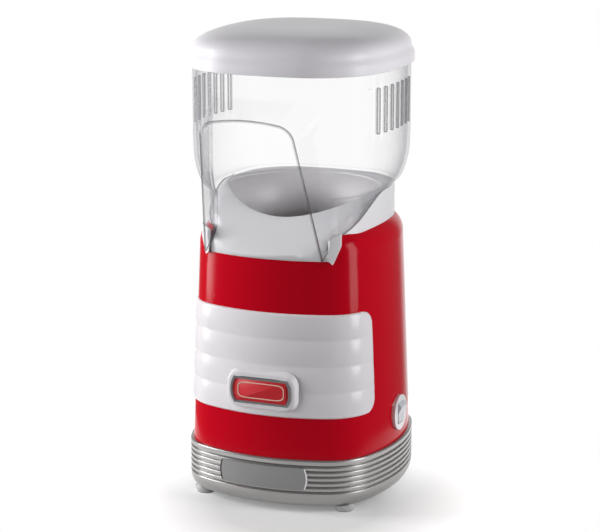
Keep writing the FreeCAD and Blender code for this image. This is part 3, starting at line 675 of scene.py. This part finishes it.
def makePanel(look):
    low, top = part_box("front_panel")[0][2] / mm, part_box("front_panel")[1][2] / mm
    total = look["bands"] * look["rowsPerBand"]
    r = look["corner"]
    steps = look["arcSteps"]
    arc = [planPoint(housing, -math.pi + math.pi * (i + 0.5) / steps) for i in range(steps)]
    rows = []
    for i in range(total + 1):
        z = low + (top - low) * i / total
        near = min(z - low, top - z)
        inset = r - math.sqrt(max(r * r - (r - min(near, r)) ** 2, 0.0))
        lean = -look["draft"] * (z - look["seamZ"])
        kept = [(p + n * lean, n) for p, n in arc if (p + n * lean).y < look["sideY"] - inset]
        band = (z - low) / (top - low) * look["bands"] % 1.0
        swell = math.sin(math.pi * band) ** look["crown"] if 0 < band < 1 else 0.0
        row = []
        for j in range(look["columns"] + 1):
            f = (len(kept) - 1) * j / look["columns"]
            a = min(int(f), len(kept) - 2)
            p = kept[a][0].lerp(kept[a + 1][0], f - a)
            n = kept[a][1].lerp(kept[a + 1][1], f - a).normalized()
            toRim = min(near, max(look["sideY"] - inset - p.y, 0.0))
            rim = math.sqrt(max(1 - (1 - min(toRim / look["rim"], 1.0)) ** 2, 0.0))
            fade = min(max((look["sideY"] - p.y) / look["fade"], 0.0), 1.0)
            out = (look["edge"] + look["bulge"] * swell * softStep(fade)) * rim - look["sink"]
            row.append((*(p + n * out), z))
        rows.append(row)
    mesh = gridMesh("bandPanel", rows, False, False)
    piece = addPiece("bandPanel", mesh, "front_panel", True)
    if sum(f.normal.y * f.area for f in mesh.polygons) > 0:
        mesh.flip_normals()
    mesh.shade_smooth()
    wall = piece.modifiers.new("wall", "SOLIDIFY")
    wall.thickness = look["thick"] * mm
    wall.offset = -1
    return piece


# raised bezel round the badge, a barrel-sided frame with a rounded outer edge
barrelLook = {"quarter": 18, "power": 0.28}
bezelLook = {"width": 47.0, "height": 24.0, "swell": 3.0, "innerWidth": 41.4, "innerHeight": 17.4,
             "innerSwell": 2.5, "round": 1.6, "roundRows": 6, "back": 4.6, "flare": 0.8, "pocket": 2.0,
             "seat": 0.6, "crease": 50}


def barrelRow(width, height, swell, y, z):
    count, power = 4 * barrelLook["quarter"], barrelLook["power"]
    points = []
    for k in range(count):
        a = 2 * math.pi * (k + 0.5) / count
        c, s = math.cos(a), math.sin(a)
        x = math.copysign(abs(c) ** power, c)
        v = math.copysign(abs(s) ** power, s)
        points.append(((width / 2 - swell * v * v) * x, y, z + height / 2 * v))
    return points


def makeBezel(look):
    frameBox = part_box("badge_frame")
    front = frameBox[0][1] / mm + look["seat"]
    z = (frameBox[0][2] + frameBox[1][2]) / 2 / mm
    r = look["round"]

    def outer(grow, y):
        return barrelRow(look["width"] + 2 * grow, look["height"] + 2 * grow, look["swell"], front + y, z)

    def inner(y):
        return barrelRow(look["innerWidth"], look["innerHeight"], look["innerSwell"], front + y, z)

    rows = [outer(look["flare"], look["back"]), outer(0.0, r)]
    for k in range(1, look["roundRows"] + 1):
        a = math.radians(90 * k / look["roundRows"])
        rows.append(outer(-r * (1 - math.cos(a)), r * (1 - math.sin(a))))
    rows += [inner(0.0), inner(look["pocket"]), inner(look["back"])]
    mesh = gridMesh("badgeBezel", rows, True, True)
    smoothMesh(mesh, look["crease"])
    return addPiece("badgeBezel", mesh, "front_panel", False)


# clear hood: smooth patches that lie across the wall's thickness are cut edges and get a darker sheet,
# painted shade for the dark lines clear plastic shows at its cut edges
edgeLook = {"colour": (0.15, 0.15, 0.17), "rough": (0.05, 0.1), "steep": 1.0, "facing": 0.7,
            "grazing": 0.98, "fade": {"start": 0.0, "full": 0.9, "least": 0.12}, "deep": 4.0, "skip": 0.02,
            "crease": 25, "share": 0.4, "middle": (0, -10, 235)}


def smoothPatches(work, crease):
    left = set(work.faces)
    while left:
        patch, front = [], [left.pop()]
        while front:
            face = front.pop()
            patch.append(face)
            for edge in face.edges:
                if edge.calc_face_angle(math.pi) < crease:
                    fresh = [f for f in edge.link_faces if f in left]
                    left.difference_update(fresh)
                    front.extend(fresh)
        yield patch


def makeHood(look):
    skin = smoothSkin("hood_shell")
    mesh = skin.data
    mesh.materials.append(clearSheet("hoodEdgeShade", look))
    work = bmesh.new()
    work.from_mesh(mesh)
    tree = BVHTree.FromBMesh(work)

    def isDeep(face):
        start = face.calc_center_median() - face.normal * look["skip"] * mm
        hit = tree.ray_cast(start, -face.normal)
        return hit[0] is None or hit[3] > look["deep"] * mm

    # painted shade: the cut-edge patches take the dark edge sheet
    for patch in smoothPatches(work, math.radians(look["crease"])):
        deep = sum(face.calc_area() for face in patch if isDeep(face))
        if deep > look["share"] * sum(face.calc_area() for face in patch):
            for face in patch:
                face.material_index = 1
    middle = Vector(look["middle"]) * mm  # skins that face away from here are outer ones
    side = work.verts.layers.float.new("skinSide")
    for vert in work.verts:
        skins = [face for face in vert.link_faces if face.material_index == 0]
        vert[side] = float(any(face.normal.dot(vert.co - middle) > 0 for face in skins))
    work.to_mesh(mesh)
    work.free()
    return skin


# collar: the funnel under its deck shows the well's metal
funnelLook = {"radius": 50.5, "under": 0.6, "colour": (0.75, 0.735, 0.755), "rough": (0.52, 0.62),
              "metal": 0.2, "lead": 80}


def makeCollar(look):
    skin = smoothSkin("chute_collar")
    skin.data.materials.append(mouldedPlastic("funnelSatin", look))
    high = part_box("chute_collar")[1][2]
    for face in skin.data.polygons:
        reach = math.hypot(face.center.x, face.center.y)
        inward = face.normal.x * face.center.x + face.normal.y * face.center.y < 0
        if reach < look["radius"] * mm and face.center.z < high - look["under"] * mm and inward:
            face.material_index = 1
    # large faces lead the shading, so the slim ones of the wall don't streak
    evenShade = skin.modifiers.new("evenShade", "WEIGHTED_NORMAL")
    evenShade.mode = "FACE_AREA"
    evenShade.weight = look["lead"]
    evenShade.keep_sharp = True
    return skin


# thin cream border line on the badge plate
stripeLook = {"width": 32.0, "height": 10.4, "swell": 1.6, "line": 0.55, "proud": -0.12, "sunk": 0.3,
              "finish": {"colour": (0.8, 0.62, 0.5), "rough": (0.3, 0.4)}}


def makeStripe(look):
    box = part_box("badge_plate")
    front, z = box[0][1] / mm, (box[0][2] + box[1][2]) / 2 / mm
    proud, sunk, line = look["proud"], look["sunk"], look["line"]
    rows = []
    for y, cut in ((sunk, 0.0), (proud, 0.0), (proud, line), (sunk, line)):
        width, height = look["width"] - 2 * cut, look["height"] - 2 * cut
        rows.append(barrelRow(width, height, look["swell"], front + y, z))
    piece = addPiece("badgeStripe", gridMesh("badgeStripe", rows, True, True), "badge_plate", False)
    piece.data.materials[0] = mouldedPlastic("badgeCream", look["finish"])
    return piece


# thin lines that close the two ends of the base plate: the dark left one is a painted shade line, the
# light right one a painted highlight line
endLook = {"radius": 0.5, "bow": 1.6, "inset": 0.6, "sunk": 0.1, "taper": 8, "sides": 8, "steps": 20,
           "rough": (0.3, 0.4), "shadowAndHighlight": {-1: (0.04, 0.04, 0.045), 1: (0.8, 0.8, 0.8)}}


# y of the plan's bowed front at x, pushed out by offset
def frontDepth(plan, x, offset):
    middle = plan["bowFront"] - plan["halfY"]
    return middle - math.sqrt((plan["bowFront"] + offset) ** 2 - x * x)


def makePlateEnds(look):
    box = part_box("base_plate")
    half = (box[1][0] - box[0][0]) / 2 / mm
    middle = (box[1][2] + box[0][2]) / 2 / mm
    tall = (box[1][2] - box[0][2]) / 2 / mm
    proud = -box[0][1] / mm - housing["halfY"] - look["sunk"]
    # painted light: the dark tone is shade painted at the left end, the light tone a highlight painted at
    # the right end
    for side, tone in look["shadowAndHighlight"].items():
        rows = []
        for k in range(look["steps"] + 1):
            v = 2 * k / look["steps"] - 1
            out = look["radius"] * math.sqrt(max(1 - v ** look["taper"], 0.0))
            x = side * (half - look["inset"] - look["bow"] * v * v)
            y, z = frontDepth(housing, x, proud), middle + v * tall
            row = []
            for j in range(look["sides"]):
                a = 2 * math.pi * j / look["sides"]
                row.append((x + out * math.cos(a), y + out * math.sin(a), z))
            rows.append(row)
        name = "plateEndShadow" if side < 0 else "plateEndHighlight"
        mesh = gridMesh(name, rows, True, False)
        mesh.shade_smooth()
        piece = addPiece(name, mesh, "base_plate", False)
        piece.data.materials[0] = mouldedPlastic(name, {"colour": tone, "rough": look["rough"]})


def skinRest(done):
    for name in nodeSlot:
        if name not in done:
            smoothSkin(name)


addCamera(cameraLook)
for lampName, lampLook in lampRig.items():
    addLamp(lampName, lampLook)
addWorld(worldLook)
addFloor(floorLook)
bpy.context.scene.view_settings.view_transform = "Standard"
print("studio set")
finishSet = dressNodes()
print("finishes made:", len(finishSet))
makeLid(lidLook)
makeBase(baseLook)
makePanel(panelLook)
makeBezel(bezelLook)
print("lid, base and panel made")
makeHood(edgeLook)
makeCollar(funnelLook)
makeStripe(stripeLook)
makePlateEnds(endLook)
print("hood, collar and trim made")
skinRest(("lid", "base_ring", "front_panel", "hood_shell", "chute_collar"))
print("other nodes smoothed")
